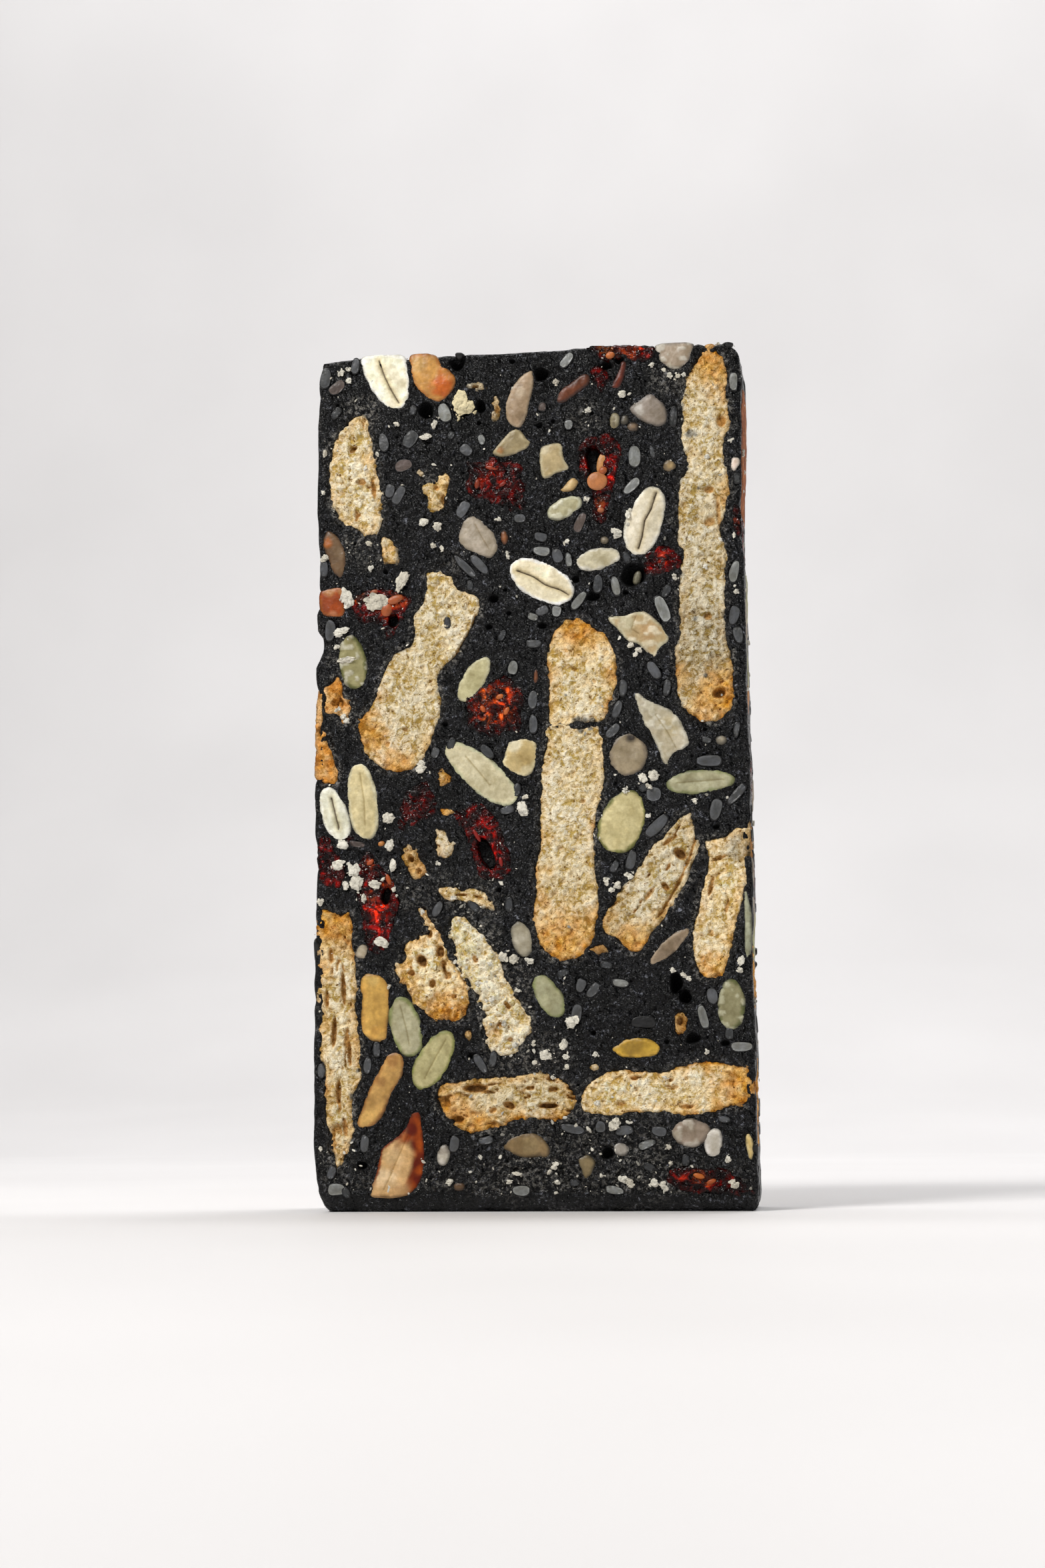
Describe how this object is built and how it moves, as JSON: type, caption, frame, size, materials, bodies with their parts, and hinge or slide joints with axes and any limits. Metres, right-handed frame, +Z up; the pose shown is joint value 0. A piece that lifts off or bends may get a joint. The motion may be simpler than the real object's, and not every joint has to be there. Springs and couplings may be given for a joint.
{
  "type": "granola bar",
  "caption": "Thick rectangular slab of dark sesame nougat, cut to show biscuits, pumpkin seeds, nuts and dried berries in section, standing on one end.",
  "frame": {"origin": "middle of the flat lower end that the slab stands on", "axes": "+Z up along the slab's length, +X along its width, the cut front face towards -Y"},
  "size_m": [0.066, 0.019, 0.1306],
  "materials": {
    "nougat": "near-black sticky sesame nougat, grainy cut surface with fine moist glints and air bubbles",
    "biscuit": "dry cream crumb with pits, browning to a golden crust at the rims and ends",
    "pumpkin_seed": "pale green-cream kernel with an olive rim and a fine lengthwise crack",
    "nut": "waxy cut nut, from grey-beige to orange-tan",
    "berry": "sticky dark red dried fruit with bright wet glints and orange-red insides",
    "almond": "cream cut almond with a red-brown skin"
  },
  "bodies": {
    "root": {"almond": "almond", "berry_bottom_right": "berry", "berry_crumbly": "berry", "berry_edge_left": "berry", "berry_hollow": "berry", "berry_left_upper": "berry", "berry_long_left": "berry", "berry_small_left": "berry", "berry_small_right": "berry", "berry_split": "berry", "berry_top_edge": "berry", "berry_top_mid": "berry", "biscuit_bottom_left": "biscuit", "biscuit_bottom_right": "biscuit", "biscuit_diagonal": "biscuit", "biscuit_edge_crust": "biscuit", "biscuit_left_edge": "biscuit", "biscuit_left_mid": "biscuit", "biscuit_mid_lower": "biscuit", "biscuit_mid_upper": "biscuit", "biscuit_pale": "biscuit", "biscuit_porous": "biscuit", "biscuit_right": "biscuit", "biscuit_right_low": "biscuit", "biscuit_sliver": "biscuit", "biscuit_top_left": "biscuit", "nougat": "nougat", "nut_amber": "nut", "nut_beige_low": "nut", "nut_brown_bar": "nut", "nut_cream_block": "nut", "nut_cream_wedge": "nut", "nut_grey_low": "nut", "nut_grey_mid": "nut", "nut_grey_right": "nut", "nut_grey_small": "nut", "nut_grey_top_edge": "nut", "nut_left_edge": "nut", "nut_orange_top": "nut", "nut_pale_wedge": "nut", "nut_round": "nut", "nut_square_left": "nut", "nut_tan_block": "nut", "pumpkin_seed_01": "pumpkin_seed", "pumpkin_seed_02": "pumpkin_seed", "pumpkin_seed_03": "pumpkin_seed", "pumpkin_seed_04": "pumpkin_seed", "pumpkin_seed_05": "pumpkin_seed", "pumpkin_seed_06": "pumpkin_seed", "pumpkin_seed_07": "pumpkin_seed", "pumpkin_seed_08": "pumpkin_seed", "pumpkin_seed_09": "pumpkin_seed", "pumpkin_seed_10": "pumpkin_seed", "pumpkin_seed_11": "pumpkin_seed", "pumpkin_seed_12": "pumpkin_seed", "pumpkin_seed_13": "pumpkin_seed", "pumpkin_seed_14": "pumpkin_seed", "pumpkin_seed_15": "pumpkin_seed", "sunflower_seed_top": "nut"}
  },
  "joints": []
}
